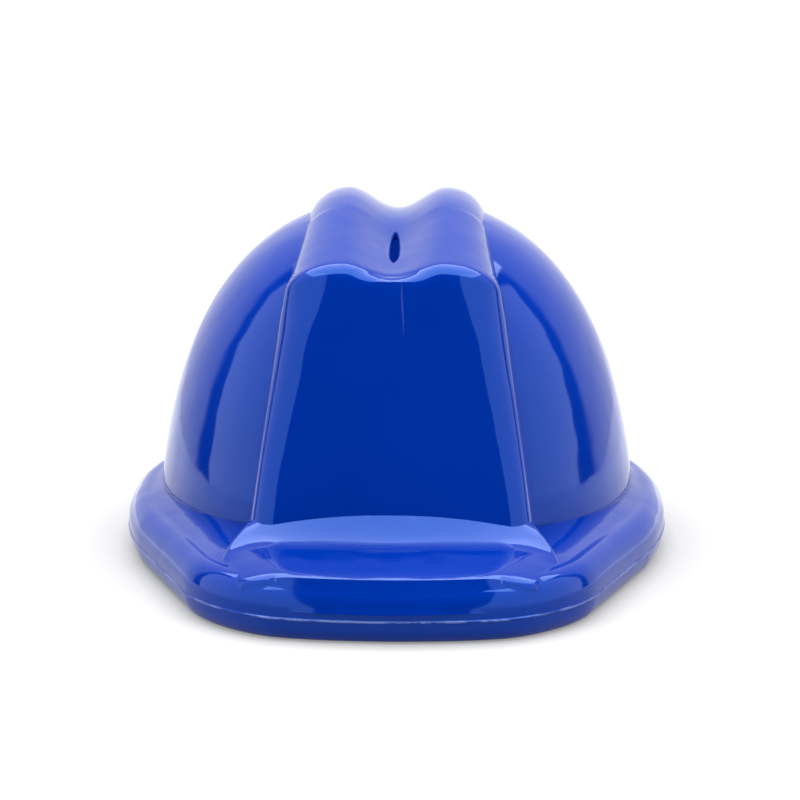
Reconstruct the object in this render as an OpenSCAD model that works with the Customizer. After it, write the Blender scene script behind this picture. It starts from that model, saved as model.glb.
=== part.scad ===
// Money box in the shape of a hard hat: a hollow upper shell with a coin slot, a base pan that
// closes it along the seam of the brim, and a push-in stopper that lets the coins out.
// Millimetres. The hat stands on z = 0 and faces -Y; the origin is below the middle of its box.

/* [Hat] */
// Width across the brim, at the seam
hat_w = 170; // [162:1:180]
// Length from the tip of the bill to the back of the brim, at the seam
hat_l = 192; // [186:1:200]
// Wall thickness of the shell and the pan
wall = 2.2; // [1.6:0.1:2.6]

/* [Brim] */
// Height of the seam, where the brim is widest
seam_z = 7; // [6:0.5:8]
// Height of the shoulder, where the roll of the brim turns into its top face
shoulder_z = 18.4; // [17:0.1:20]
// Width of the roll, from the seam in to the shoulder
roll_w = 7.5; // [6:0.5:8.5]
// How far the foot of the brim lies inside the seam
foot_inset = 4.4; // [3:0.2:5]
// Height of the bill where it meets the middle of the front panel
bill_root_z = 28; // [26:0.5:30]

/* [Dome] */
// Half width of the dome at its widest
dome_rx = 74.8; // [72:0.2:76]
// Half length of the dome at its widest
dome_ry = 72.5; // [70:0.5:74]
// Height of the dome
dome_h = 107.5; // [105:0.5:110]

/* [Crest] */
// Height at which the front and back slopes of the ribs would meet
rib_z = 112; // [109:0.5:114]
// Half width of the crest on top
crest_top_w = 28.5; // [27:0.5:30]
// Half width of the front panel at the bill
panel_w = 43; // [41:0.5:45]
// Depth of the valley between the ribs
valley = 6.4; // [4:0.2:7]

/* [Coin slot] */
// Length of the slot, for a coin of up to 25 mm
slot_l = 26; // [25:0.5:30]
// Width of the slot
slot_w = 3; // [2.6:0.2:3.8]

/* [Stopper] */
// Radius of the coin hole in the pan
hole_r = 17; // [15:0.5:20]
// Gap between the stopper and the hole
stopper_gap = 0.08; // [0.04:0.01:0.1]
// Radius of the stopper's flange
flange_r = 21; // [19.5:0.5:24]

/* [Hidden] */

hat_blue = [0.05, 0.16, 0.72];
stopper_black = [0.06, 0.06, 0.07];

// Half outline of the brim at the seam, front to back: corner x, y and radius.
brim_corners = [
    [0, -hat_l / 2 - 2.3, 150],
    [0.613 * hat_w / 2, -0.919 * hat_l / 2, 40],
    [hat_w / 2 + 0.1, -0.114 * hat_l / 2, 90],
    [hat_w / 2 - 0.1, 0.505 * hat_l / 2, 85],
    [0.56 * hat_w / 2, 0.97 * hat_l / 2, 60],
    [0, hat_l / 2 - 0.2, 150],
];
bill_fall = 5.5;         // the bill is this much lower at the panel's corners
brim_steps = 5;          // points along each corner and each straight of the brim
roll_steps = 4;          // slices in each quarter of the roll
dome_y = 13;             // the dome's axis lies behind the origin
dome_z = 8;              // height of the dome's widest level
dome_steps = 18;
dome_fn = 80;

// Side view of the crest: up the front panel, over the top and down the back, as y, z and radius.
panel_foot = [-64.6, 13];
crest_path = [
    [panel_foot.x, panel_foot.y, 0],
    [-43.9, rib_z - 14, 6],
    [21, rib_z + 1.2, 90],
    [70, rib_z - 13.5, 46],
    [87, 42, 90],
    [88.6, 13, 0],
];
crest_steps = 6;         // points along each bend and each straight of the crest
rib_steps = 6;           // points from the valley's floor to a rib, and from a rib to its foot
fan_w = 30;              // half width of the crest solid at the dome's axis
slab_w = 22;             // half width of the dome that the crest takes the place of

slot_y = -16;            // middle of the coin slot

pan_floor_z = 3.2;       // underside of the pan's recessed floor
foot_w = 9;              // width of the ring that the hat stands on
tongue_h = 2.8;          // height of the pan's tongue above the seam
tongue_w = 1.6;
tongue_inset = wall + 0.7;   // the tongue stands clear of the inside of the shell
hole_y = 10;             // middle of the coin hole
collar_w = 2;            // thickness of the collar round the coin hole
collar_top = pan_floor_z + wall + 5;
plug_h = collar_top - pan_floor_z;   // the plug fills the whole collar
plug_taper = 1.2;
plug_wall = 1.8;
flange_h = 1.6;
grip_w = 3;              // width of the finger bar across the stopper
eps = 0.01;

function unit(v) = v / norm(v);

// Points of the bend at b between a and c, of radius r, drawn at radius r - inset about the same centre.
function bend(a, b, c, r, inset, steps) =
    let (u = unit(a - b),
         v = unit(c - b),
         half = acos(u * v) / 2,
         centre = b + unit(u + v) * r / sin(half),
         from = b + u * r / tan(half) - centre,
         side = sign(cross(b - a, c - b)),
         start = atan2(from.y, from.x))
    [for (i = [0:steps])
        let (at = start + side * (180 - 2 * half) * i / steps)
        centre + (r - inset) * [cos(at), sin(at)]];

function between(a, b, steps) = [for (i = [1:steps - 1]) a + (b - a) * i / steps];

// Closed outline of the brim, inset from the seam.
function brim_outline(inset) =
    let (right = brim_corners,
         n = len(right),
         corners = concat(right, [for (i = [n - 2:-1:1]) [-right[i].x, right[i].y, right[i].z]]),
         m = len(corners),
         bends = [for (i = [0:m - 1])
             let (a = corners[(i + m - 1) % m], b = corners[i], c = corners[(i + 1) % m])
             bend([a.x, a.y], [b.x, b.y], [c.x, c.y], b.z, inset, brim_steps)])
    [for (i = [0:m - 1])
        each concat(bends[i], between(bends[i][brim_steps], bends[(i + 1) % m][0], brim_steps))];

// Slice of the brim at height z.
module brim_slice(inset, z) {
    translate([0, 0, z])
        linear_extrude(eps)
            polygon(brim_outline(inset));
}

// Roll of the brim, from the foot to the shoulder, shrunk all round by t.
module brim_roll(t) {
    for (i = [0:roll_steps]) {
        turn = 90 * i / roll_steps;
        brim_slice(foot_inset * (1 - sin(turn)) + t, seam_z - (seam_z - t) * cos(turn));
        brim_slice(roll_w * (1 - cos(turn)) + t, seam_z + (shoulder_z - t - seam_z) * sin(turn));
    }
}

// Brim with the bill that rises to the front panel.
module brim_form(t) {
    hull() {
        brim_roll(t);
        translate([0, dome_y, shoulder_z + 2.4 - t])
            scale([dome_rx, dome_ry, 1])
                cylinder(r = 0.96, h = eps, $fn = dome_fn);
        for (x = [-0.88:0.22:0.88])
            translate([x * panel_w, -57, bill_root_z - bill_fall * x * x - t])
                cylinder(r = 1, h = eps, $fn = 16);
    }
}

// Share of the dome's radius that is left at height z.
function dome_share(z, t) = pow(1 - pow(z / (dome_h - dome_z - t), 2), 1 / 2.5);

module dome_disc(i, t) {
    z = (dome_h - dome_z - t) * sin(89 * i / dome_steps);
    share = dome_share(z, t);
    translate([0, dome_y, dome_z + z])
        scale([(dome_rx - t) * share, (dome_ry - t) * share, 1])
            cylinder(r = 1, h = eps, $fn = dome_fn);
}

// Dome in two lobes, one on each side of the crest.
module dome_form(t) {
    difference() {
        for (i = [0:dome_steps - 1])
            hull() {
                dome_disc(i, t);
                dome_disc(i + 1, t);
            }
        translate([-slab_w + t, -hat_l, 0])
            cube([2 * (slab_w - t), 2 * hat_l, 2 * dome_h]);
    }
}

// Side view of the crest as points, with the outward direction at each.
function crest_points() =
    let (n = len(crest_path),
         p = [for (q = crest_path) [q.x, q.y]],
         bends = [for (i = [1:n - 2]) bend(p[i - 1], p[i], p[i + 1], crest_path[i].z, 0, crest_steps)])
    concat([p[0]], between(p[0], bends[0][0], crest_steps),
           [for (i = [0:n - 3])
               each concat(bends[i],
                           between(bends[i][crest_steps], i < n - 3 ? bends[i + 1][0] : p[n - 1], crest_steps))],
           [p[n - 1]]);

spine = crest_points();
spine_n = len(spine);
top_front = crest_path[1];
function out_at(i) =
    let (d = unit(spine[min(i + 1, spine_n - 1)] - spine[max(i - 1, 0)]))
    [-d.y, d.x];

// Sizes of the crest along y: the half width, the width and drop of its shoulders, the valley's depth.
function crest_w(p) = p.x < 0
    ? lookup(p.y, [[panel_foot.y, panel_w + 1], [top_front.y - 2, crest_top_w + 3], [rib_z, crest_top_w]])
    : lookup(p.y, [[panel_foot.y, crest_top_w + 6], [top_front.y - 10, crest_top_w]]);
function shoulder_w(p) = lookup(p.y, [[60, 5], [top_front.y, 11], [rib_z, 13.3]]);
function shoulder_drop(p) = lookup(p.y, [[60, 5], [top_front.y, 9], [rib_z, 12]]);
function valley_depth(p) = lookup(p.y, [[top_front.y - 16, 0], [top_front.y, 0.45 * valley], [rib_z - 3, valley]]);

// One section across the crest, right to left: x and the height above the spine.
function crest_section(p, t) =
    let (w = crest_w(p) - t,
         sw = shoulder_w(p),
         drop = shoulder_drop(p),
         deep = valley_depth(p),
         rib = w - sw,
         half = concat(
             [for (i = [0:rib_steps - 1])
                 let (x = rib * i / rib_steps) [x, -deep * (1 + cos(180 * x / rib)) / 2 - t]],
             [for (i = [0:rib_steps])
                 let (a = 90 * i / rib_steps) [rib + sw * sin(a), -drop * (1 - cos(a)) - t]]))
    concat([for (i = [len(half) - 1:-1:1]) half[i]], [for (q = half) [-q.x, q.y]]);

// Crest: its skin runs from the bill over the top to the back, and its sides close on the dome's axis.
module crest_form(t) {
    rings = [for (i = [0:spine_n - 1])
        let (out = out_at(i))
        [for (q = crest_section(spine[i], t))
            [q.x, spine[i].x + q.y * out.x, spine[i].y + q.y * out.y]]];
    m = len(rings[0]);
    skin = [for (ring = rings) each ring];
    right = len(skin);
    left = right + 1;
    last = (spine_n - 1) * m;
    polyhedron(
        points = concat(skin, [[fan_w - t, dome_y, dome_z], [t - fan_w, dome_y, dome_z]]),
        faces = concat(
            [for (i = [0:spine_n - 2], j = [0:m - 2]) [i * m + j, i * m + j + 1, (i + 1) * m + j + 1]],
            [for (i = [0:spine_n - 2], j = [0:m - 2]) [i * m + j, (i + 1) * m + j + 1, (i + 1) * m + j]],
            [for (i = [0:spine_n - 2]) [i * m, (i + 1) * m, right]],
            [for (i = [0:spine_n - 2]) [(i + 1) * m - 1, left, (i + 2) * m - 1]],
            [for (j = [0:m - 2]) [j, right, j + 1]],
            [for (j = [0:m - 2]) [last + j, last + j + 1, right]],
            [[m - 1, right, left], [last + m - 1, left, right]]));
}

module hat_form(t) {
    dome_form(t);
    crest_form(t);
    brim_form(t);
}

// Straight cut with round ends.
module coin_slot() {
    reach = (slot_l - slot_w) / 2;
    for (y = [-1, 1])
        translate([0, slot_y + y * reach, rib_z - 40])
            cylinder(d = slot_w, h = 50, $fn = 32);
    translate([-slot_w / 2, slot_y - reach, rib_z - 40])
        cube([slot_w, 2 * reach, 50]);
}

module hat_shell() {
    color(hat_blue)
        difference() {
            hat_form(0);
            hat_form(wall);
            translate([-hat_w, -hat_l, -1])
                cube([2 * hat_w, 2 * hat_l, seam_z + 1]);
            coin_slot();
        }
}

// Straight plate of the brim's outline, inset from the seam, from height z.
module plate(inset, z, h) {
    translate([0, 0, z])
        linear_extrude(h)
            polygon(brim_outline(inset));
}

// Lower half of the brim's roll, from the foot to the seam.
module pan_form() {
    hull() {
        for (i = [0:roll_steps]) {
            turn = 90 * i / roll_steps;
            brim_slice(foot_inset * (1 - sin(turn)), (seam_z - eps) * (1 - cos(turn)));
        }
    }
}

module base_pan() {
    color(hat_blue)
        difference() {
            union() {
                pan_form();
                plate(tongue_inset, wall, seam_z + tongue_h - wall);
            }
            difference() {
                plate(tongue_inset + tongue_w, wall, seam_z + tongue_h);
                plate(foot_inset + foot_w - wall, 0, pan_floor_z + wall);
                translate([0, hole_y, 0])
                    cylinder(r = hole_r + collar_w, h = collar_top, $fn = 96);
            }
            plate(foot_inset + foot_w, -1, pan_floor_z + 1);
            translate([0, hole_y, -1])
                cylinder(r = hole_r, h = collar_top + 2, $fn = 96);
        }
}

// Hollow plug with a flange below, a closed top and a finger bar across its mouth.
module coin_stopper() {
    plug_r = hole_r - stopper_gap;
    color(stopper_black)
        translate([0, hole_y, pan_floor_z])
            difference() {
                union() {
                    translate([0, 0, -flange_h])
                        cylinder(r = flange_r, h = flange_h, $fn = 96);
                    cylinder(r = plug_r, h = plug_h, $fn = 96);
                    translate([0, 0, plug_h])
                        cylinder(r1 = plug_r, r2 = plug_r - plug_taper, h = plug_taper, $fn = 96);
                }
                difference() {
                    translate([0, 0, -flange_h - 1])
                        cylinder(r = plug_r - plug_wall, h = plug_h + plug_taper + flange_h + 1 - plug_wall, $fn = 96);
                    translate([-grip_w / 2, -hole_r, -flange_h])
                        cube([grip_w, 2 * hole_r, plug_h + flange_h]);
                }
            }
}

hat_shell();
base_pan();
coin_stopper();
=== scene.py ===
"""Looks of a money box in the shape of a hard hat: glossy blue moulded shell and base pan, black stopper.

Lengths are written in millimetres and turned into metres once, at the end of each piece.
The hat faces -Y and stands on z = 0.
"""

import math

import bmesh
import bpy
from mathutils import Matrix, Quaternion, Vector


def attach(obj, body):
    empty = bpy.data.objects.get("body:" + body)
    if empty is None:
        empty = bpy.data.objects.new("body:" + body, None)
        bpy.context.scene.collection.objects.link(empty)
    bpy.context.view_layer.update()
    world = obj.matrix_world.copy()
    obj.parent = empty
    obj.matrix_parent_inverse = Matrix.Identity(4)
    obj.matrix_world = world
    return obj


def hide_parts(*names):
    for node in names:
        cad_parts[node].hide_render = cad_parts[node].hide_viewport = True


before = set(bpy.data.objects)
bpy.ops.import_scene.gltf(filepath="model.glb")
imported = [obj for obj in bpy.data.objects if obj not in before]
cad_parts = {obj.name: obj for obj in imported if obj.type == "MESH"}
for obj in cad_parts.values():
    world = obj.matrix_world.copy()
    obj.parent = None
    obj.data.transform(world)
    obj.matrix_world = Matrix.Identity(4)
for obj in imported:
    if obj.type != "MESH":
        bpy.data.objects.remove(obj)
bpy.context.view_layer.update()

MM = 0.001

# ---------------------------------------------------------------- sizes, in millimetres

SEAM_Z = 7.0
WALL = 2.2

# Half outline of the brim at the seam, front to back: corner x, corner y and the corner's radius.
BRIM_CORNERS = [
    (0.0, -98.3, 150.0),
    (52.1, -88.2, 40.0),
    (85.1, -10.9, 90.0),
    (84.9, 48.5, 85.0),
    (47.6, 93.1, 60.0),
    (0.0, 95.8, 150.0),
]
ROLL_WIDTH = 7.4
ROLL_TOP = 17.4
FOOT_INSET = 4.4
LIP = 0.3                # the moulding flash stands this far out of the roll at the seam
LIP_HEIGHT = 0.45

DOME_RX = 74.8
DOME_RY = 72.5
DOME_TOP = 107.5
DOME_FOOT = 8.0
DOME_Y = 13.0
DOME_SQUARENESS = 2.5
DOME_SINK = 9.0          # the dome is pressed in this far under the crest

# Side view of the crest: up the front panel, over the top and down the back, as y, z and radius.
CREST_PATH = [
    (-64.6, 13.0, 0.0),
    (-43.9, 98.4, 6.5),
    (21.0, 113.25, 90.0),
    (70.0, 98.5, 46.0),
    (87.0, 42.0, 90.0),
    (88.6, 13.0, 0.0),
]
CREST_FOOT = CREST_PATH[0][1]
PANEL_TOP = CREST_PATH[1][1]
RIB_TOP = 112.0
CREST_HALF_WIDTH = 28.5
PANEL_HALF_WIDTH = 43.2
VALLEY = 6.4             # depth of the valley between the two ribs
SKIN_TOP = 0.5           # shares of the crest's skin: ribs and valley, then the shoulder, then the skirt
SKIN_SHOULDER = 0.84
SKIN_TURN = math.radians(84)
SKIRT = 32.0

BILL_BACK_Y = -59.0      # foot of the front panel
BILL_OVERLAP = 6.0       # the bill's solid starts this far inside the panel
BILL_FRONT_Y = -91.2
BILL_FRONT_RADIUS = 185.0
BILL_FRONT_Z = 18.9
BILL_SLOPE = 0.05
BILL_CROWN = 1.8
BILL_ROOT_Z = 30.1
BILL_ROOT_FALL = 5.0
BILL_ROOT_HALF = 42.0    # half width at the panel; it opens from there and closes towards the front
BILL_OPENING = 0.52
BILL_WIDEST_HALF = 50.5
BILL_WIDEST_AHEAD = 15.0
BILL_CLOSING = 0.50
BILL_SIDE_FALL = 3.3     # the top sinks into the brim over this last strip beside its side edges
BILL_SIDE_STRIP = 15.0
BILL_FRONT_FALL = 0.5
BILL_FRONT_STRIP = 3.0
BILL_SKIRT = 9.0         # height of the bill's walls, most of it inside the brim
BILL_RIM = 0.9
COVE = 12.0              # reach of the hollow curve at the foot of the panel
FRONT_DRAFT = 4.3

SLOT_Y = -16.0
SLOT_LENGTH = 26.0
SLOT_WIDTH = 3.0
# Levels of the slot's blade, from the valley's floor, and how much wider it is there.
SLOT_FLARE = (
    (-30.0, 0.0), (-1.8, 0.0), (-1.1, 0.1), (-0.6, 0.35),
    (-0.25, 0.7), (0.05, 1.2), (0.5, 2.0), (4.0, 4.0),
)

TONGUE_INSET = 2.9
TONGUE_WIDTH = 1.6
TONGUE_HEIGHT = 2.8
FOOT_WIDTH = 9.0
PAN_FLOOR = 3.2          # underside of the pan's recessed floor
HOLE_Y = 10.0
HOLE_RADIUS = 17.0
COLLAR = 2.0
COLLAR_TOP = 10.4
PLUG_RADIUS = 16.92
PLUG_TAPER = 1.2
PLUG_WALL = 1.8
FLANGE_RADIUS = 21.0
FLANGE = 1.6
GRIP = 3.0               # thickness of the finger bar

# ---------------------------------------------------------------- colours, lights and camera

BLUE = (0.0, 0.0152, 0.178)
BLUE_DEEP = (0.0, 0.0138, 0.163)
GLOSS_TINT = (0.21, 0.44, 0.95)
# Painted glow of the shell's inside: an emission standing in for light that comes through the plastic.
INSIDE_PAINTED_GLOW = (0.0, 0.02, 0.22)
SEAM_PALE = (0.55, 0.62, 0.85)
SPECK_PALE = (0.25, 0.32, 0.62)
RUBBER = (0.028, 0.028, 0.030)
RUBBER_DEEP = (0.012, 0.012, 0.013)
RUBBER_PALE = (0.16, 0.16, 0.17)
PAPER = (0.24, 0.24, 0.243)

# From here on lengths are in metres, but the camera's are in millimetres.
FLOOR_SIZE = (0.62, 1.9)
FLOOR_Y = 0.59
FLOOR_Z = -0.00005
OVERHEAD_PLACE = (0.0, -0.05, 0.9)
OVERHEAD_SIZE = (1.42, 1.05)
OVERHEAD_POWER = 32.0
SIDE_BOX_PLACE = (0.80, -0.41, 0.5625)
SIDE_BOX_SIZE = (1.5, 1.875)
SIDE_BOX_POWER = 20.6
SIDE_BOX_LEAN = math.radians(16)

CAMERA_TILT = math.radians(14.5)
CAMERA_TURN = math.radians(1.4)
CAMERA_DISTANCE = 848.4
CAMERA_AIM = (0.0, 6.5, 45.6)
CAMERA_LENS = 121.5
CAMERA_SHIFT = 0.0044


# ---------------------------------------------------------------- working by hand

def only(obj):
    """Selects this object alone and makes it the active one."""
    if bpy.context.object and bpy.context.object.mode != "OBJECT":
        bpy.ops.object.mode_set(mode="OBJECT")
    bpy.ops.object.select_all(action="DESELECT")
    obj.select_set(True)
    bpy.context.view_layer.objects.active = obj


def edit(obj, mode="VERT"):
    """Opens the object in edit mode, picking by vertex, edge or face."""
    only(obj)
    bpy.ops.object.mode_set(mode="EDIT")
    bpy.ops.mesh.select_mode(type=mode)


def done():
    """Leaves edit mode."""
    bpy.ops.object.mode_set(mode="OBJECT")


def everything():
    bpy.ops.mesh.select_all(action="SELECT")


def face_outwards():
    everything()
    bpy.ops.mesh.normals_make_consistent(inside=False)


def pull(height):
    """Extrudes what is picked straight up, or down."""
    bpy.ops.mesh.extrude_region_move(TRANSFORM_OT_translate={"value": (0, 0, height)})


def step_in(width, height=0.0):
    """Insets the picked faces and moves them out along their normal by the height."""
    bpy.ops.mesh.inset(thickness=width, depth=height, use_even_offset=True)


def stretch(size, centre=(0, 0, 0)):
    bpy.ops.transform.resize(value=size, center_override=centre)


def move(way):
    bpy.ops.transform.translate(value=way)


def pick(obj, kind, test):
    """In edit mode, selects the vertices, edges or faces whose middle passes the test."""
    mesh = bmesh.from_edit_mesh(obj.data)
    for face in mesh.faces:
        face.select_set(False)
    for edge in mesh.edges:
        edge.select_set(False)
    for vert in mesh.verts:
        vert.select_set(False)
    for item in getattr(mesh, kind):
        if kind == "verts":
            middle = item.co
        elif kind == "edges":
            middle = (item.verts[0].co + item.verts[1].co) / 2
        else:
            middle = item.calc_center_median()
        if test(middle, item):
            item.select_set(True)
    bmesh.update_edit_mesh(obj.data)


def primitive(add, name, **settings):
    """Adds a primitive at the origin under its piece's name."""
    if bpy.context.object and bpy.context.object.mode != "OBJECT":
        bpy.ops.object.mode_set(mode="OBJECT")
    bpy.ops.object.select_all(action="DESELECT")
    add(location=(0, 0, 0), **settings)
    obj = bpy.context.object
    obj.name = name
    obj.data.name = name
    return obj


def modify(obj, kind, **settings):
    """Puts a modifier on the piece and applies it."""
    only(obj)
    modifier = obj.modifiers.new(kind.lower(), kind)
    for key, value in settings.items():
        setattr(modifier, key, value)
    bpy.ops.object.modifier_apply(modifier=modifier.name)


def combine(base, tools, operation):
    """Joins the tools to the base or cuts them from it, and removes them."""
    for tool in tools:
        modify(base, "BOOLEAN", object=tool, operation=operation, solver="MANIFOLD")
        bpy.data.objects.remove(tool)


def finish_piece(obj, sharp_above, weighted):
    """Smooths the shading below this angle in degrees and turns the piece into metres."""
    only(obj)
    bpy.ops.object.shade_smooth_by_angle(angle=math.radians(sharp_above))
    if weighted:
        modify(obj, "WEIGHTED_NORMAL", keep_sharp=True, weight=100)
    edit(obj)
    everything()
    stretch((MM, MM, MM))
    done()
    return obj


# ---------------------------------------------------------------- shared curves

def bend(a, b, c, radius, steps):
    """Points of the round bend at b, on the way from a to c."""
    a, b, c = Vector(a), Vector(b), Vector(c)
    u, v = (a - b).normalized(), (c - b).normalized()
    half = u.angle(v) / 2
    centre = b + (u + v).normalized() * radius / math.sin(half)
    start = b + u * radius / math.tan(half) - centre
    side = 1 if (b - a).cross(c - b) > 0 else -1
    turn = side * (math.pi - 2 * half)
    at = math.atan2(start.y, start.x)
    return [
        centre + radius * Vector((math.cos(at + turn * i / steps), math.sin(at + turn * i / steps)))
        for i in range(steps + 1)
    ]


def between(a, b, spacing):
    """Points on the straight from a to b, without its ends."""
    count = max(int((b - a).length / spacing), 1)
    return [a + (b - a) * i / count for i in range(1, count)]


def blend(value, low, high):
    """0 below low, 1 above high and a soft S between them."""
    t = min(max((value - low) / (high - low), 0.0), 1.0)
    return t * t * (3 - 2 * t)


def crest_spine(spacing):
    """Side view of the crest as points (y, z), from the foot of the panel to the foot of the back."""
    corners = [Vector(p[:2]) for p in CREST_PATH]
    points = [corners[0]]
    for i in range(1, len(corners) - 1):
        radius = CREST_PATH[i][2]
        steps = max(int(radius / spacing / 1.2), 7)
        arc = bend(corners[i - 1], corners[i], corners[i + 1], radius, steps)
        points += between(points[-1], arc[0], spacing) + arc
    return points + between(points[-1], corners[-1], spacing) + [corners[-1]]


def crest_section(y, z, u):
    """Sideways place and drop below the spine of the crest's skin, for u from -1 to 1 across it."""
    if y < 0:
        rise = (z - CREST_FOOT) / (PANEL_TOP - CREST_FOOT)
        half = PANEL_HALF_WIDTH + (CREST_HALF_WIDTH + 3 - PANEL_HALF_WIDTH) * min(rise, 1.0)
        half -= 3 * blend(z, PANEL_TOP - 2, RIB_TOP)
        shoulder = 8.0 + 3.0 * blend(z, 30, 76) + 6.0 * blend(z, 74, 96) - 4.0 * blend(z, 96, RIB_TOP - 2)
        drop = 6.0 + 4.0 * blend(z, 40, 86) + 2.5 * blend(z, PANEL_TOP - 6, RIB_TOP)
        deep = 0.55 * blend(z, PANEL_TOP - 5, PANEL_TOP) + 0.45 * blend(z, PANEL_TOP - 2, RIB_TOP - 4)
    else:
        half = CREST_HALF_WIDTH + 6 * (1 - blend(z, CREST_FOOT, PANEL_TOP - 10))
        shoulder = 9.0 + 4.0 * blend(z, 40, PANEL_TOP)
        drop = 6.0 + 6.5 * blend(z, 40, RIB_TOP - 2)
        deep = blend(z, 30, RIB_TOP - 8)
    rib = half - shoulder
    side = math.copysign(1, u)
    if abs(u) <= SKIN_TOP:
        x = rib * abs(u) / SKIN_TOP
        return side * x, -VALLEY * deep * (1 + math.cos(math.pi * x / rib)) / 2
    turn = SKIN_TURN * min((abs(u) - SKIN_TOP) / (SKIN_SHOULDER - SKIN_TOP), 1.0)
    x = rib + shoulder * math.sin(turn)
    fall = drop * (1 - math.cos(turn))
    if abs(u) > SKIN_SHOULDER:
        down = Vector((shoulder * math.cos(turn), drop * math.sin(turn))).normalized()
        down *= SKIRT * (abs(u) - SKIN_SHOULDER) / (1 - SKIN_SHOULDER)
        x, fall = x + down.x, fall + down.y
    return side * x, -fall


def crest_outward(spine, row, reach):
    """Direction out of the crest at this point of its side view, turning slowly round the tight bend."""
    here = spine[row]
    first = next((p for p in reversed(spine[:row + 1]) if (p - here).length >= reach), spine[0])
    last = next((p for p in spine[row:] if (p - here).length >= reach), spine[-1])
    ahead = (last - first).normalized()
    return Vector((-ahead.y, ahead.x))


def valley_height(y):
    """Height of the valley's floor at y, on top of the crest."""
    spine = crest_spine(2.0)
    for one, other in zip(spine, spine[1:]):
        if one.x <= y <= other.x and one.y > PANEL_TOP:
            z = one.y + (other.y - one.y) * (y - one.x) / (other.x - one.x)
            return z + crest_section(y, z, 0.0)[1]
    return RIB_TOP - VALLEY


# ---------------------------------------------------------------- the shell's solids

def brim_plate(name, steps):
    """Flat plate of the brim's outline at the seam: a polygon whose corners are rounded one by one."""
    right = BRIM_CORNERS
    corners = right + [(-x, y, r) for x, y, r in reversed(right[1:-1])]
    plate = primitive(
        bpy.ops.mesh.primitive_circle_add, name, vertices=len(corners), radius=1, fill_type="NGON"
    )
    for vert, (x, y, _) in zip(plate.data.vertices, corners):
        vert.co = (x, y, SEAM_Z)
    edit(plate)
    count = len(corners)
    for i, (x, y, radius) in enumerate(corners):
        here = Vector((x, y))
        u = Vector(corners[i - 1][:2]) - here
        v = Vector(corners[(i + 1) % count][:2]) - here
        reach = radius / math.tan(u.angle(v) / 2)
        pick(plate, "verts", lambda middle, _: (middle.xy - here).length < 0.01)
        bpy.ops.mesh.bevel(
            offset=reach, affect="VERTICES", segments=steps, offset_type="OFFSET", clamp_overlap=False
        )
    face_outwards()
    done()
    if plate.data.polygons[0].normal.z < 0:
        edit(plate)
        everything()
        bpy.ops.mesh.flip_normals()
        done()
    return plate


def split_long_edges(plate, spacing):
    """Divides the plate's straights so that the roll has even faces."""
    edit(plate, "EDGE")
    for _ in range(6):
        longest = [False]

        def is_long(_, edge):
            long = edge.calc_length() > 2 * spacing
            longest[0] = longest[0] or long
            return long

        pick(plate, "edges", is_long)
        if not longest[0]:
            break
        bpy.ops.mesh.subdivide(number_cuts=1)
    done()


def make_brim(name, inset, steps):
    """Upper half of the rolled brim with its nearly flat top, drawn smaller all round by the inset."""
    brim = brim_plate(name, steps)
    split_long_edges(brim, 4.0)
    edit(brim, "FACE")
    everything()
    if inset:
        step_in(inset)
        bpy.ops.mesh.select_all(action="INVERT")
        bpy.ops.mesh.delete(type="FACE")
        everything()
        move((0, 0, -1))
        pull(1)
    else:
        pull(0.15)
        step_in(LIP, LIP_HEIGHT - 0.15)
    turns = 14
    rise = ROLL_TOP - inset - SEAM_Z
    was = (0.0, 0.0) if inset else (LIP, LIP_HEIGHT)
    for i in range(1, turns + 1):
        angle = math.pi / 2 * i / turns
        now = (ROLL_WIDTH * (1 - math.cos(angle) ** 0.9), rise * math.sin(angle) ** 0.9)
        if now[0] <= was[0]:
            pull(now[1] - was[1])
            was = (was[0], now[1])
            continue
        step_in(now[0] - was[0], max(now[1] - was[1], 0.0))
        was = now
    for width, height in ((1.0, 0.3), (1.5, 0.5), (2.5, 0.7), (4.0, 0.9), (5.0, 0.6)):
        step_in(width, height)
    done()
    return brim


def make_dome(name, inset, segments):
    """Dome with squarer shoulders than a ball."""
    rings = segments * 2 // 3
    dome = primitive(
        bpy.ops.mesh.primitive_uv_sphere_add, name, segments=segments, ring_count=rings, radius=1
    )
    for vert in dome.data.vertices:
        ring = 1 - vert.co.z ** 2
        if ring > 1e-6:
            vert.co.xy *= ring ** (1 / DOME_SQUARENESS - 0.5)
    edit(dome)
    everything()
    size = (DOME_RX - inset, DOME_RY - inset, DOME_TOP - DOME_FOOT - inset)
    stretch(size)
    move((0, DOME_Y, DOME_FOOT))
    bpy.ops.mesh.bisect(
        plane_co=(0, 0, DOME_FOOT + 0.013), plane_no=(0, 0, 1), use_fill=True, clear_inner=True
    )
    done()
    for vert in dome.data.vertices:
        under_crest = 1 - blend(abs(vert.co.x), 16, 27)
        vert.co.z -= DOME_SINK * under_crest * blend(vert.co.z, 60, 100)
    return dome


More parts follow.
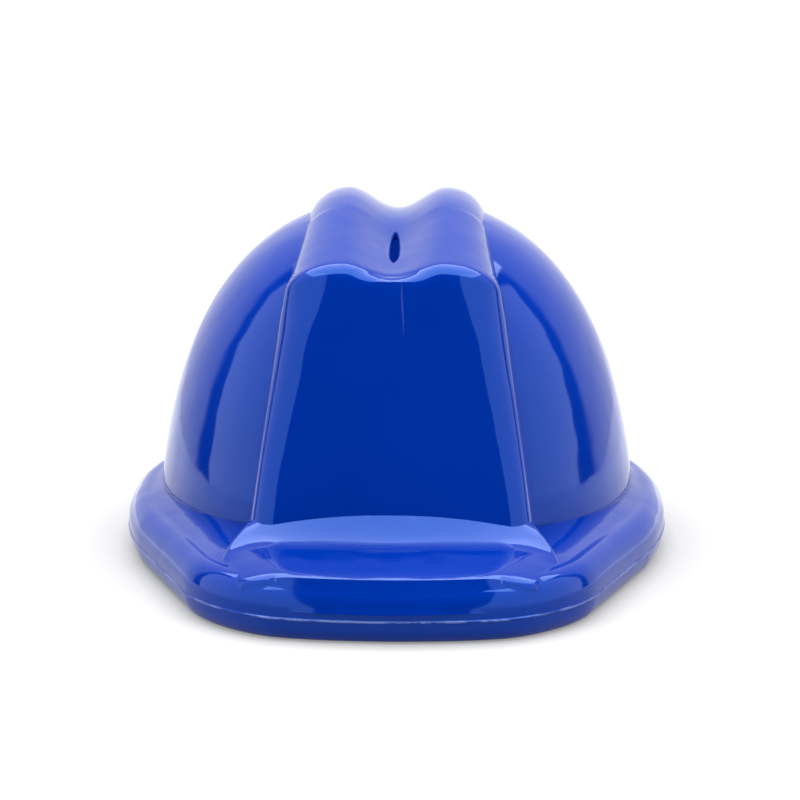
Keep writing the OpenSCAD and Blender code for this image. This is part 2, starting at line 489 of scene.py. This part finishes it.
def make_crest(name, inset, spacing, columns):
    """Ribbed crest: a skin laid over the spine, closed by walls that run in towards the dome's axis."""
    spine = crest_spine(spacing)
    rows = len(spine) - 1
    crest = primitive(
        bpy.ops.mesh.primitive_grid_add, name, x_subdivisions=columns, y_subdivisions=rows, size=2
    )
    for vert in crest.data.vertices:
        row = round((vert.co.y + 1) / 2 * rows)
        y, z = spine[row]
        x, drop = crest_section(y, z, vert.co.x)
        out = crest_outward(spine, row, max(4.0, 1.5 * abs(drop)))
        x -= math.copysign(min(inset, abs(x)), x) if abs(vert.co.x) > SKIN_TOP else 0
        drop -= inset
        vert.co = (x, y + drop * out.x, z + drop * out.y)
    edit(crest, "EDGE")
    pick(crest, "edges", lambda _, edge: edge.is_boundary)
    bpy.ops.mesh.extrude_edges_move()
    axis = (0, DOME_Y, DOME_FOOT + 4)
    stretch((1, 0.6, 0.4), axis)
    bpy.ops.mesh.extrude_edges_move()
    stretch((0.7, 0.05, 0.2), axis)
    bpy.ops.mesh.edge_face_add()
    face_outwards()
    done()
    return crest


def bill_front(x):
    """Front edge of the bill, a shallow arc."""
    return BILL_FRONT_Y + x * x / (2 * BILL_FRONT_RADIUS)


def bill_height(x, ahead, reach, side_gap):
    """Height of the bill's top at x, this far ahead of the panel, with side_gap left to its side edge."""
    gap = reach - ahead
    crown = BILL_CROWN * (1 - max(1 - gap / reach, 0.0) ** 2)
    top = BILL_FRONT_Z + BILL_SLOPE * gap + crown
    root = BILL_ROOT_Z - BILL_ROOT_FALL * (abs(x) / BILL_ROOT_HALF) ** 2.3
    cove = max(1 - ahead / COVE, 0.0) ** 1.5
    rise = (root - BILL_FRONT_Z - BILL_SLOPE * reach - BILL_CROWN) * cove
    side_fall = BILL_SIDE_FALL * max(1 - side_gap / BILL_SIDE_STRIP, 0.0) ** 1.7 * blend(ahead, 2, 16)
    front_fall = BILL_FRONT_FALL * max(1 - gap / BILL_FRONT_STRIP, 0.0) ** 2
    return top + rise - side_fall - front_fall


def make_bill(name, spacing):
    """Raised top of the bill, from the foot of the front panel to the front of the brim."""
    columns, rows = int(96 / spacing), int(36 / spacing)
    bill = primitive(
        bpy.ops.mesh.primitive_grid_add, name, x_subdivisions=columns, y_subdivisions=rows, size=2
    )
    for vert in bill.data.vertices:
        u = vert.co.x
        along = (1 - vert.co.y) / 2
        ahead_mid = -BILL_OVERLAP + along * (BILL_BACK_Y - BILL_FRONT_Y + BILL_OVERLAP)
        opening = BILL_ROOT_HALF + BILL_OPENING * max(ahead_mid, 0)
        closing = BILL_WIDEST_HALF - BILL_CLOSING * (ahead_mid - BILL_WIDEST_AHEAD)
        rounding = 1.2 * math.exp(-((opening - closing) / 4.0) ** 2)
        half = min(opening, closing) - rounding
        x = u * half
        front = bill_front(x)
        y = BILL_BACK_Y + BILL_OVERLAP + along * (front - BILL_BACK_Y - BILL_OVERLAP)
        ahead = BILL_BACK_Y - y
        reach = BILL_BACK_Y - front
        vert.co = (x, y, bill_height(x, max(ahead, 0), reach, half - abs(x)))
    edit(bill, "FACE")
    everything()
    pull(-BILL_SKIRT)
    face_outwards()
    done()
    for vert in bill.data.vertices:
        x, y, z = vert.co
        if z < 12 and y < bill_front(x) + 0.5:
            vert.co.y -= FRONT_DRAFT * (1 - 0.64 * (abs(x) / BILL_ROOT_HALF) ** 3)
    edit(bill, "EDGE")
    pick(bill, "edges", lambda middle, edge: is_rim(edge))
    bpy.ops.mesh.bevel(offset=BILL_RIM, segments=4, profile=0.5, clamp_overlap=False)
    done()
    return bill


def is_rim(edge):
    """True where an upward face meets a wall."""
    if len(edge.link_faces) != 2:
        return False
    one, other = (face.normal.z for face in edge.link_faces)
    return max(one, other) > 0.6 and min(one, other) < 0.3


def make_slot_cutter():
    """Blade-shaped solid with round ends that flares where it leaves the valley's floor."""
    cutter = primitive(
        bpy.ops.mesh.primitive_circle_add, "slot_cutter", vertices=48, radius=1, fill_type="NGON"
    )
    edit(cutter, "FACE")
    everything()
    for _ in SLOT_FLARE[1:]:
        pull(1)
    done()
    straight = (SLOT_LENGTH - SLOT_WIDTH) / 2
    for vert in cutter.data.vertices:
        level, flare = SLOT_FLARE[round(vert.co.z)]
        radius = SLOT_WIDTH / 2 - 0.5 + flare
        y = SLOT_Y + (radius + straight) * vert.co.y
        vert.co = (radius * vert.co.x * abs(vert.co.x) ** 0.3, y, valley_height(y) + level)
    edit(cutter)
    face_outwards()
    done()
    return cutter


def make_shell():
    """Outer solid less the hollow, open at the seam and cut through by the coin slot."""
    shell = make_brim("hat_shell_skin", 0, 12)
    tops = [make_dome("dome", 0, 144), make_crest("crest", 0, 2.0, 60), make_bill("bill", 1.5)]
    combine(shell, tops, "UNION")
    hollow = make_brim("hollow", WALL, 12)
    combine(hollow, [make_dome("dome", WALL, 72), make_crest("crest", WALL, 4.0, 30)], "UNION")
    for solid in (shell, hollow):
        solid.data.materials.append(None)
        solid.data.materials.append(None)
    for face in hollow.data.polygons:
        face.material_index = 1
    combine(shell, [hollow, make_slot_cutter()], "DIFFERENCE")
    return finish_piece(shell, 28, False)


# ---------------------------------------------------------------- the pan and the stopper

def drum(name, radius, low, high):
    """Upright cylinder on the axis of the coin hole."""
    solid = primitive(
        bpy.ops.mesh.primitive_cylinder_add, name, vertices=96, radius=radius, depth=high - low
    )
    edit(solid)
    everything()
    move((0, HOLE_Y, (low + high) / 2))
    done()
    return solid


def from_hole(middle):
    """Distance from the axis of the coin hole."""
    return math.hypot(middle.x, middle.y - HOLE_Y)


def make_pan():
    """Lower half of the roll with a foot to stand on, a recessed floor, and a tongue inside the shell."""
    pan = brim_plate("base_pan_skin", 12)
    split_long_edges(pan, 4.0)
    edit(pan, "FACE")
    everything()
    pull(-0.15)
    face_outwards()
    pick(pan, "faces", lambda middle, face: face.normal.z < -0.9)
    step_in(LIP, LIP_HEIGHT - 0.15)
    was = (LIP, LIP_HEIGHT)
    turns = 12
    for i in range(2, turns + 1):
        angle = math.pi / 2 * i / turns
        now = (LIP + (FOOT_INSET - LIP) * (1 - math.cos(angle)), SEAM_Z * math.sin(angle))
        step_in(now[0] - was[0], now[1] - was[1])
        was = now
    rounded_foot = ((FOOT_WIDTH - 0.8, 0.0), (0.25, -0.07), (0.25, -0.18), (0.3, -0.55))
    for width, depth in (*rounded_foot, (0.02, 0.8 - PAN_FLOOR)):
        step_in(width, depth)
    pick(pan, "faces", lambda middle, face: face.normal.z > 0.9 and middle.z > SEAM_Z - 0.01)
    step_in(TONGUE_INSET, 0)
    pull(TONGUE_HEIGHT - 0.4)
    step_in(0.4, 0.4)
    step_in(TONGUE_WIDTH - 0.4, 0)
    well = PAN_FLOOR + WALL - SEAM_Z - TONGUE_HEIGHT
    pull(well)
    done()
    combine(pan, [drum("collar", HOLE_RADIUS + COLLAR, PAN_FLOOR + 1, COLLAR_TOP)], "UNION")
    combine(pan, [drum("hole", HOLE_RADIUS, -1, COLLAR_TOP + 1)], "DIFFERENCE")
    edit(pan, "EDGE")
    pick(pan, "edges", lambda middle, _: abs(from_hole(middle) - HOLE_RADIUS) < 0.1
         and (abs(middle.z - PAN_FLOOR) < 0.05 or abs(middle.z - COLLAR_TOP) < 0.05))
    bpy.ops.mesh.bevel(offset=0.35, segments=3, profile=0.5, clamp_overlap=True)
    done()
    return finish_piece(pan, 32, True)


def make_stopper():
    """Hollow plug with a flange below, a closed top and a finger bar across its mouth."""
    top = COLLAR_TOP + PLUG_TAPER
    low = PAN_FLOOR - FLANGE
    stopper = drum("coin_stopper_skin", FLANGE_RADIUS, low, PAN_FLOOR)
    edit(stopper, "FACE")
    pick(stopper, "faces", lambda middle, face: face.normal.z > 0.9)
    step_in(FLANGE_RADIUS - PLUG_RADIUS)
    pull(COLLAR_TOP - PAN_FLOOR)
    step_in(PLUG_TAPER, PLUG_TAPER)
    pick(stopper, "faces", lambda middle, face: face.normal.z < -0.9)
    step_in(FLANGE_RADIUS - PLUG_RADIUS + PLUG_WALL)
    pull(top - PLUG_WALL - low)
    done()
    edit(stopper, "EDGE")
    rims = (
        (FLANGE_RADIUS, low),
        (FLANGE_RADIUS, PAN_FLOOR),
        (PLUG_RADIUS - PLUG_WALL, low),
        (PLUG_RADIUS - PLUG_TAPER, top),
    )
    pick(stopper, "edges", lambda middle, _: any(
        abs(from_hole(middle) - radius) < 0.1 and abs(middle.z - z) < 0.05 for radius, z in rims))
    bpy.ops.mesh.bevel(offset=0.45, segments=4, profile=0.5, clamp_overlap=True)
    done()
    bar = primitive(bpy.ops.mesh.primitive_cube_add, "finger_bar", size=1)
    edit(bar)
    everything()
    span = 2 * (PLUG_RADIUS - PLUG_WALL + 0.6)
    tall = top - PLUG_WALL - low
    stretch((GRIP, span, tall))
    move((0, HOLE_Y, low + 0.5 + tall / 2))
    done()
    edit(bar, "EDGE")
    pick(bar, "edges", lambda middle, _: middle.z < low + 0.6 and abs(middle.x) > 1)
    bpy.ops.mesh.bevel(offset=0.7, segments=4, profile=0.5)
    done()
    combine(stopper, [bar], "UNION")
    return finish_piece(stopper, 32, True)


# ---------------------------------------------------------------- materials

class Nodes:
    """Lays out the nodes of one tree."""

    def __init__(self, tree):
        self.tree = tree

    def add(self, kind, settings=None, **inputs):
        node = self.tree.nodes.new(kind)
        for key, value in (settings or {}).items():
            setattr(node, key, value)
        for key, value in inputs.items():
            self.feed(node, key.replace("_", " "), value)
        return node

    def feed(self, node, socket, value):
        target = node.inputs[socket]
        if isinstance(value, bpy.types.NodeSocket):
            self.tree.links.new(value, target)
        else:
            target.default_value = value

    def math(self, operation, one, other=0.0, third=None):
        node = self.add("ShaderNodeMath", {"operation": operation})
        for i, value in enumerate((one, other) if third is None else (one, other, third)):
            self.feed(node, i, value)
        return node.outputs[0]

    def ramp(self, value, low, high, out_low=0.0, out_high=1.0):
        node = self.add("ShaderNodeMapRange", {"interpolation_type": "SMOOTHSTEP"}, Value=value)
        limits = {"From Min": low, "From Max": high, "To Min": out_low, "To Max": out_high}
        for name, amount in limits.items():
            self.feed(node, name, amount)
        return node.outputs["Result"]

    def noise(self, where, scale, detail=2.0, roughness=0.5):
        sizes = {"Scale": scale, "Detail": detail, "Roughness": roughness}
        return self.add("ShaderNodeTexNoise", None, Vector=where, **sizes).outputs[0]

    def mix(self, amount, one, other):
        node = self.add("ShaderNodeMix", {"data_type": "RGBA"})
        self.feed(node, "Factor", amount)
        for i, value in ((6, one), (7, other)):
            self.feed(node, i, (*value, 1) if isinstance(value, tuple) else value)
        return node.outputs[2]

    def place(self):
        """Place on the object, in metres."""
        return self.add("ShaderNodeTexCoord").outputs["Object"]


def new_group(name, inputs, outputs):
    """Empty shader group with float inputs and their defaults, and named float outputs."""
    group = bpy.data.node_groups.new(name, "ShaderNodeTree")
    for label, value in inputs.items():
        socket = group.interface.new_socket(label, in_out="INPUT", socket_type="NodeSocketFloat")
        socket.default_value = value
    for label in outputs:
        group.interface.new_socket(label, in_out="OUTPUT", socket_type="NodeSocketFloat")
    into = group.nodes.new("NodeGroupInput")
    out = group.nodes.new("NodeGroupOutput")
    return group, Nodes(group), into.outputs, out


def moulding_ripple():
    """Slow waviness left by the mould and a fine orange peel over it, as one height."""
    inputs = {"Wave Scale": 60.0, "Wave Depth": 0.1, "Peel Scale": 900.0, "Peel Depth": 0.004}
    group, lay, given, out = new_group("moulding_ripple", inputs, ["Height"])
    where = lay.place()
    waves = lay.math("MULTIPLY", lay.noise(where, given["Wave Scale"], 1.0), given["Wave Depth"])
    peel = lay.math("MULTIPLY", lay.noise(where, given["Peel Scale"], 2.0), given["Peel Depth"])
    group.links.new(lay.math("ADD", waves, peel), out.inputs["Height"])
    return group


def handling_scuffs():
    """Patches of fine rubbing: a mask of short faint scratches that come and go."""
    inputs = {"Patch Scale": 22.0, "Scratch Scale": 260.0, "Amount": 0.5}
    group, lay, given, out = new_group("handling_scuffs", inputs, ["Mask"])
    where = lay.place()
    patches = lay.ramp(lay.noise(where, given["Patch Scale"], 3.0), 0.48, 0.7)
    askew = {"Rotation": (0.4, 0.7, 0.9), "Scale": (1.0, 0.12, 1.0)}
    turned = lay.add("ShaderNodeMapping", None, Vector=where, **askew)
    scratches = lay.ramp(lay.noise(turned.outputs[0], given["Scratch Scale"], 4.0, 0.7), 0.55, 0.75)
    mask = lay.math("MULTIPLY", lay.math("MULTIPLY", patches, scratches), given["Amount"])
    group.links.new(mask, out.inputs["Mask"])
    return group


def seam_flash():
    """Pale broken line where the two mouldings meet, for edges at one height of the object."""
    inputs = {"Seam Height": 0.007, "Half Width": 0.0004, "Cover": 0.5}
    group, lay, given, out = new_group("seam_flash", inputs, ["Mask"])
    where = lay.place()
    height = lay.add("ShaderNodeSeparateXYZ", None, Vector=where).outputs["Z"]
    jitter = lay.math("MULTIPLY", lay.math("SUBTRACT", lay.noise(where, 300.0, 3.0), 0.5), 0.0004)
    height = lay.math("ADD", height, jitter)
    off = lay.math("ABSOLUTE", lay.math("SUBTRACT", height, given["Seam Height"]))
    core = lay.math("MULTIPLY", given["Half Width"], 0.5)
    line = lay.math("SUBTRACT", 1.0, lay.ramp(off, core, given["Half Width"]))
    broken = lay.ramp(lay.noise(where, 120.0, 5.0, 0.7), 0.62, 0.42)
    cover = lay.math("MULTIPLY", line, lay.math("MULTIPLY", broken, given["Cover"]))
    group.links.new(cover, out.inputs["Mask"])
    return group


def dust_specks():
    """Sparse tiny specks and pin holes."""
    inputs = {"Scale": 90.0, "Size": 0.05, "Share": 0.1}
    group, lay, given, out = new_group("dust_specks", inputs, ["Mask"])
    where = lay.place()
    cells = lay.add("ShaderNodeTexVoronoi", None, Vector=where, Scale=given["Scale"])
    chosen = lay.add("ShaderNodeSeparateColor", None, Color=cells.outputs["Color"]).outputs[0]
    shown = lay.math("LESS_THAN", chosen, given["Share"])
    dot = lay.math("SUBTRACT", 1.0, lay.ramp(cells.outputs["Distance"], 0.0, given["Size"]))
    group.links.new(lay.math("MULTIPLY", dot, shown), out.inputs["Mask"])
    return group


def use(lay, group, **values):
    """Puts a group into the tree with these values and gives its output."""
    node = lay.add("ShaderNodeGroup", {"node_tree": group})
    for key, value in values.items():
        node.inputs[key.replace("_", " ")].default_value = value
    return node.outputs[0]


def new_material(name):
    """Material with a plain shader, its node layout and the shader."""
    material = bpy.data.materials.new(name)
    material.use_nodes = True
    return material, Nodes(material.node_tree), material.node_tree.nodes["Principled BSDF"]


def raise_surface(lay, shader, height):
    """Feeds a height in millimetres to the shader's normal."""
    bump = lay.add("ShaderNodeBump", None, Strength=1.0, Distance=MM, Height=height)
    lay.feed(shader, "Normal", bump.outputs[0])


def blue_plastic(name, scuffed, weld):
    """Glossy blue moulded plastic: slightly wavy, with faint scuffs, specks and a pale seam."""
    material, lay, shader = new_material(name)
    lay.feed(shader, "IOR", 1.5)
    lay.feed(shader, "Specular Tint", (*GLOSS_TINT, 1))
    where = lay.place()
    scuffs = use(lay, groups["scuffs"], Patch_Scale=24.0, Scratch_Scale=320.0, Amount=scuffed)
    seam = use(lay, groups["seam"], Seam_Height=SEAM_Z * MM, Half_Width=0.00042, Cover=0.12)
    specks = use(lay, groups["specks"], Scale=70.0, Size=0.035, Share=0.12)
    ripple = use(
        lay, groups["ripple"], Wave_Scale=75.0, Wave_Depth=0.24, Peel_Scale=1100.0, Peel_Depth=0.003
    )
    tone = lay.ramp(lay.noise(where, 14.0, 2.0), 0.35, 0.65)
    colour = lay.mix(tone, BLUE_DEEP, BLUE)
    colour = lay.mix(seam, colour, SEAM_PALE)
    colour = lay.mix(lay.math("MULTIPLY", specks, 0.35), colour, SPECK_PALE)
    height = lay.math("SUBTRACT", ripple, lay.math("MULTIPLY", specks, 0.05))
    if weld:
        line = weld_line(lay, where)
        colour = lay.mix(lay.math("MULTIPLY", line, 0.03), colour, SEAM_PALE)
        height = lay.math("ADD", height, lay.math("MULTIPLY", line, 0.006))
    lay.feed(shader, "Base Color", colour)
    rough = lay.math("MULTIPLY_ADD", scuffs, 0.22, 0.075)
    lay.feed(shader, "Roughness", lay.math("ADD", rough, lay.math("MULTIPLY", seam, 0.3)))
    raise_surface(lay, shader, height)
    return material


def weld_line(lay, where):
    """Short upright line near the top of the front panel, where two flows of plastic met."""
    axes = lay.add("ShaderNodeSeparateXYZ", None, Vector=where).outputs
    wander = lay.math("MULTIPLY", lay.math("SUBTRACT", lay.noise(where, 150.0), 0.5), 0.0012)
    centre = lay.math("MULTIPLY_ADD", axes["Z"], -0.07, 0.0091)
    off = lay.math("ABSOLUTE", lay.math("SUBTRACT", lay.math("ADD", axes["X"], wander), centre))
    line = lay.math("SUBTRACT", 1.0, lay.ramp(off, 0.0001, 0.00035))
    reach = lay.math("MULTIPLY", lay.ramp(axes["Z"], 0.077, 0.086), lay.ramp(axes["Z"], 0.095, 0.090))
    front = lay.math("LESS_THAN", axes["Y"], -0.03)
    return lay.math("MULTIPLY", line, lay.math("MULTIPLY", reach, front))


def inside_blue(name):
    """Inside of the shell, dull, with a painted blue glow that stands in for the light coming through the
    plastic.
    """
    material, lay, shader = new_material(name)
    where = lay.place()
    lay.feed(shader, "Base Color", lay.mix(lay.noise(where, 40.0, 3.0), BLUE_DEEP, BLUE))
    lay.feed(shader, "Roughness", 0.4)
    # Painted light: the inside faces glow faintly blue.
    lay.feed(shader, "Emission Color", (*INSIDE_PAINTED_GLOW, 1))
    lay.feed(shader, "Emission Strength", 1.0)
    ripple = use(
        lay, groups["ripple"], Wave_Scale=90.0, Wave_Depth=0.1, Peel_Scale=900.0, Peel_Depth=0.01
    )
    raise_surface(lay, shader, ripple)
    return material


def black_rubber(name):
    """Soft black stopper with a fine matt grain, rubbed patches and pale specks."""
    material, lay, shader = new_material(name)
    where = lay.place()
    scuffs = use(lay, groups["scuffs"], Patch_Scale=60.0, Scratch_Scale=700.0, Amount=0.8)
    specks = use(lay, groups["specks"], Scale=260.0, Size=0.12, Share=0.3)
    ripple = use(
        lay, groups["ripple"], Wave_Scale=200.0, Wave_Depth=0.05, Peel_Scale=3000.0, Peel_Depth=0.02
    )
    colour = lay.mix(lay.noise(where, 90.0, 3.0), RUBBER_DEEP, RUBBER)
    colour = lay.mix(lay.math("MULTIPLY", specks, 0.4), colour, RUBBER_PALE)
    lay.feed(shader, "Base Color", colour)
    lay.feed(shader, "Roughness", lay.math("MULTIPLY_ADD", scuffs, 0.2, 0.5))
    raise_surface(lay, shader, ripple)
    return material


def dress(obj, *materials):
    """Gives the piece its materials in the order of its faces' material numbers."""
    for i, material in enumerate(materials):
        if i < len(obj.data.materials):
            obj.data.materials[i] = material
        else:
            obj.data.materials.append(material)


# ---------------------------------------------------------------- stage

def soft_light(name, place, aim, size, power, lean=0.0):
    """Rectangular light aimed at a point and leaned about its own axis."""
    data = bpy.data.lights.new(name, "AREA")
    data.shape = "RECTANGLE"
    data.size, data.size_y = size
    data.energy = power
    light = bpy.data.objects.new(name, data)
    bpy.context.collection.objects.link(light)
    light.location = place
    turned = (Vector(aim) - Vector(place)).to_track_quat("-Z", "Y") @ Quaternion((0, 0, 1), lean)
    light.rotation_euler = turned.to_euler()


def make_paper():
    """Pale matt floor with a painted glow that is weak near the hat and turns it plain white away from
    it, and open from below.
    """
    paper, lay, shader = new_material("paper")
    lay.feed(shader, "Base Color", (*PAPER, 1))
    lay.feed(shader, "Roughness", 0.9)
    lay.feed(shader, "Specular IOR Level", 0.0)
    away = lay.add("ShaderNodeVectorMath", {"operation": "LENGTH"})
    lay.feed(away, 0, lay.place())
    # Painted light: the floor glows with an emission of 0.22 within 7 cm of the hat, rising to 1.0 from
    # 24 cm out, so it is darker around the hat and plain white further off.
    lay.feed(shader, "Emission Color", (1, 1, 1, 1))
    lay.feed(shader, "Emission Strength", lay.ramp(away.outputs["Value"], 0.07, 0.24, 0.22, 1.0))
    one_sided = lay.add("ShaderNodeMixShader")
    lay.feed(one_sided, 0, lay.add("ShaderNodeNewGeometry").outputs["Backfacing"])
    lay.feed(one_sided, 1, shader.outputs[0])
    lay.feed(one_sided, 2, lay.add("ShaderNodeBsdfTransparent").outputs[0])
    lay.feed(paper.node_tree.nodes["Material Output"], "Surface", one_sided.outputs[0])
    return paper


def make_stage():
    """Floor, three soft lights and the world."""
    floor = primitive(bpy.ops.mesh.primitive_plane_add, "floor", size=1)
    edit(floor)
    everything()
    stretch((*FLOOR_SIZE, 1))
    move((0, FLOOR_Y, FLOOR_Z))
    done()
    dress(floor, make_paper())
    over_x, over_y, _ = OVERHEAD_PLACE
    soft_light("overhead", OVERHEAD_PLACE, (over_x, over_y, 0.05), OVERHEAD_SIZE, OVERHEAD_POWER)
    box_x, box_y, box_z = SIDE_BOX_PLACE
    for side, name in ((-1, "left_box"), (1, "right_box")):
        place = (side * box_x, box_y, box_z)
        soft_light(name, place, (0, 0, box_z), SIDE_BOX_SIZE, SIDE_BOX_POWER, -side * SIDE_BOX_LEAN)
    make_world()
    bpy.context.scene.view_settings.view_transform = "Standard"


def make_world():
    """White behind the hat and dark in front of it; the camera itself sees plain white."""
    world = bpy.data.worlds.new("studio")
    world.use_nodes = True
    lay = Nodes(world.node_tree)
    where = lay.add("ShaderNodeTexCoord").outputs["Generated"]
    axes = lay.add("ShaderNodeSeparateXYZ", None, Vector=where).outputs
    behind = lay.ramp(axes["Y"], 0.33, 0.42, 0.03, 1.25)
    white = lay.math("MULTIPLY", behind, lay.ramp(axes["Z"], 0.97, 0.88))
    seen = lay.add("ShaderNodeLightPath").outputs["Is Camera Ray"]
    background = world.node_tree.nodes["Background"]
    lay.feed(background, "Color", (1, 1, 1, 1))
    lay.feed(background, "Strength", lay.math("MAXIMUM", white, seen))
    bpy.context.scene.world = world


def make_camera():
    """Long lens from the front, from a little above and a little towards +X."""
    level = math.cos(CAMERA_TILT)
    ahead = (-math.sin(CAMERA_TURN) * level, math.cos(CAMERA_TURN) * level, -math.sin(CAMERA_TILT))
    forward = Vector(ahead)
    data = bpy.data.cameras.new("camera")
    data.lens = CAMERA_LENS
    data.sensor_width = 36
    data.shift_x = CAMERA_SHIFT
    camera = bpy.data.objects.new("camera", data)
    bpy.context.collection.objects.link(camera)
    camera.location = (Vector(CAMERA_AIM) - forward * CAMERA_DISTANCE) * MM
    camera.rotation_euler = forward.to_track_quat("-Z", "Y").to_euler()
    bpy.context.scene.camera = camera


groups = {
    "ripple": moulding_ripple(),
    "scuffs": handling_scuffs(),
    "seam": seam_flash(),
    "specks": dust_specks(),
}

pieces = (
    (make_shell(), "hat", "hat_shell", "shell_plastic",
     (blue_plastic("shell_blue", 0.5, True), inside_blue("shell_inside"))),
    (make_pan(), "hat", "base_pan", "pan_plastic", (blue_plastic("pan_blue", 0.9, False),)),
    (make_stopper(), "stopper", "coin_stopper", "stopper_rubber", (black_rubber("stopper_black"),)),
)
for piece, body, node, slot, materials in pieces:
    dress(piece, *materials)
    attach(piece, body)
    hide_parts(node)
make_stage()
make_camera()
